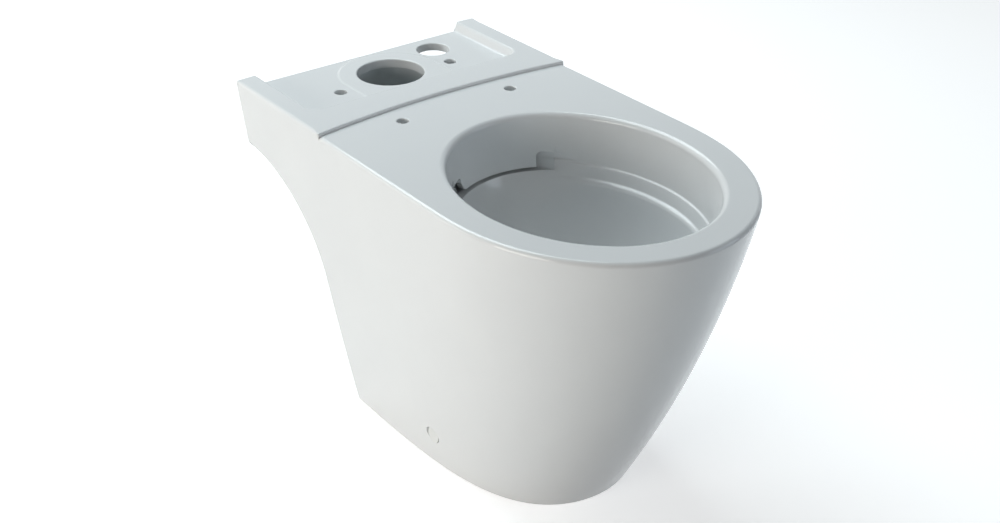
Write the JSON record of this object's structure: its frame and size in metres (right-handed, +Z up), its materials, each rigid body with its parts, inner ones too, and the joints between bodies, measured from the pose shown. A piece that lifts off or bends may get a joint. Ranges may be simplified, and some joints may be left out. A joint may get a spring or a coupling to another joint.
{
  "type": "close-coupled toilet pan",
  "caption": "White glazed china toilet pan with an oval bowl, a raised cistern shelf, a level rear outlet and hidden side fixings under round caps.",
  "frame": {"origin": "on the floor, under the middle of the pan's overall box", "axes": "+Z up, -Y the front of the bowl, +Y the wall side, +X the side of the water pipe hole"},
  "size_m": [0.355, 0.6399, 0.404],
  "materials": {
    "glazed_china": "glossy white glaze",
    "bracket_nylon": "moulded, fine grain",
    "bush_plastic": "moulded, satin",
    "screw_steel": "zinc plated",
    "cap_plastic": "white gloss"
  },
  "bodies": {
    "pan": {"body_shroud": "glazed_china", "bowl_deck": "glazed_china", "cistern_shelf": "glazed_china", "bowl": "glazed_china", "flush_apron": "glazed_china", "flush_channel": "glazed_china", "trapway": "glazed_china", "outlet_spigot": "glazed_china", "floor_bracket_left": "bracket_nylon", "floor_bracket_right": "bracket_nylon", "fixing_bush_left": "bush_plastic", "fixing_bush_right": "bush_plastic", "side_screw_left": "screw_steel", "side_screw_right": "screw_steel"},
    "left_cap": {"cover_cap_left": "cap_plastic"},
    "right_cap": {"cover_cap_right": "cap_plastic"}
  },
  "joints": [
    {"name": "left_cap_pull", "type": "slide", "parent": "pan", "child": "left_cap", "axis": [-1, 0, 0], "range_m": [0, 0.02]},
    {"name": "right_cap_pull", "type": "slide", "parent": "pan", "child": "right_cap", "axis": [1, 0, 0], "range_m": [0, 0.02]}
  ]
}
